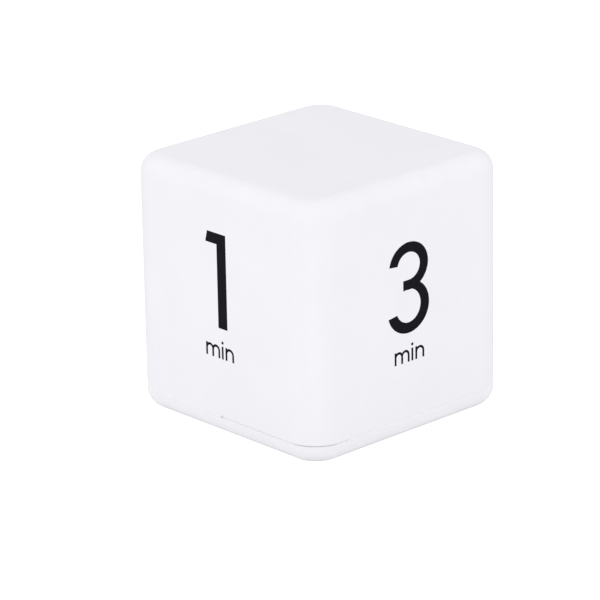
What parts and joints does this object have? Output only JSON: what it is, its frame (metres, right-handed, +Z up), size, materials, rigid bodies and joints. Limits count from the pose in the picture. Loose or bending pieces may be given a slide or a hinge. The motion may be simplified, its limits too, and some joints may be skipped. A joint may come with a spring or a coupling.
{
  "type": "cube timer",
  "caption": "White rounded cube kitchen timer with printed minute numerals on its sides, set by turning it over; display, battery door and slide switch underneath.",
  "frame": {"origin": "centre of the face the cube stands on in the picture", "axes": "+Z up through the blank top face, -Y out of the face with the numeral 1, +X out of the face with the numeral 3"},
  "size_m": [0.067, 0.067, 0.067],
  "materials": {
    "white_plastic": "satin, fine spark texture",
    "black_ink": "pad print, satin",
    "clear_window": "polished clear plastic",
    "display_glass": "clear",
    "reflector": "silver-grey film",
    "inner_plastic": "moulded, untextured",
    "contact_rubber": "matt, fine layers",
    "board_green": "solder mask",
    "black_resin": "cast, glossy",
    "black_plastic": "moulded",
    "component_beige": "ceramic",
    "bright_steel": "zinc plated",
    "contact_nickel": "nickel plated",
    "pin_brass": "tinned brass",
    "ball_steel": "polished",
    "coil_copper": "enamelled copper winding",
    "cell_sleeve": "plain printed sleeve, satin",
    "red_lead": "soft insulation",
    "black_lead": "soft insulation"
  },
  "bodies": {
    "housing": {"main_shell": "white_plastic", "base_cover": "white_plastic", "numeral_1": "black_ink", "numeral_3": "black_ink", "numeral_5": "black_ink", "numeral_10": "black_ink", "cover_screws": "bright_steel", "board_screws": "bright_steel", "battery_tray": "inner_plastic", "positive_contact": "contact_nickel", "negative_contact": "contact_nickel", "bridge_contact": "contact_nickel", "negative_spring": "contact_nickel", "bridge_spring": "contact_nickel", "cell_front": "cell_sleeve", "cell_back": "cell_sleeve", "display_window": "clear_window", "display_front_glass": "display_glass", "display_rear_glass": "display_glass", "display_reflector": "reflector", "display_frame": "inner_plastic", "contact_strip": "contact_rubber", "circuit_board": "board_green", "chip_resin": "black_resin", "crystal": "bright_steel", "chip_parts": "component_beige", "capacitor": "black_plastic", "sounder_case": "black_plastic", "sounder_disc": "bright_steel", "sounder_coil": "coil_copper", "sounder_base": "black_plastic", "switch_housing": "bright_steel", "switch_terminals": "pin_brass", "lead_black": "black_lead", "lead_red_cell": "red_lead", "lead_red_board": "red_lead", "sounder_lead_near": "red_lead", "sounder_lead_far": "black_lead", "tilt_case_a": "black_plastic", "tilt_contacts_a": "pin_brass", "tilt_case_b": "black_plastic", "tilt_contacts_b": "pin_brass", "tilt_case_c": "black_plastic", "tilt_contacts_c": "pin_brass"},
    "battery_door": {"battery_door": "white_plastic"},
    "switch_knob": {"switch_knob": "black_plastic"},
    "tilt_ball_a": {"tilt_ball_a": "ball_steel"},
    "tilt_ball_b": {"tilt_ball_b": "ball_steel"},
    "tilt_ball_c": {"tilt_ball_c": "ball_steel"}
  },
  "joints": [
    {"name": "battery_door_slide", "type": "slide", "parent": "housing", "child": "battery_door", "axis": [-1, 0, 0], "range_m": [0, 0.008]},
    {"name": "switch_slide", "type": "slide", "parent": "housing", "child": "switch_knob", "axis": [1, 0, 0], "range_m": [0, 0.003]},
    {"name": "tilt_ball_a_roll", "type": "slide", "parent": "housing", "child": "tilt_ball_a", "axis": [0.7071, 0.7071, 0], "range_m": [0, 0.0023]},
    {"name": "tilt_ball_b_roll", "type": "slide", "parent": "housing", "child": "tilt_ball_b", "axis": [0.7071, -0.7071, 0], "range_m": [0, 0.0023]},
    {"name": "tilt_ball_c_roll", "type": "slide", "parent": "housing", "child": "tilt_ball_c", "axis": [0, 0, 1], "range_m": [0, 0.0023]}
  ]
}
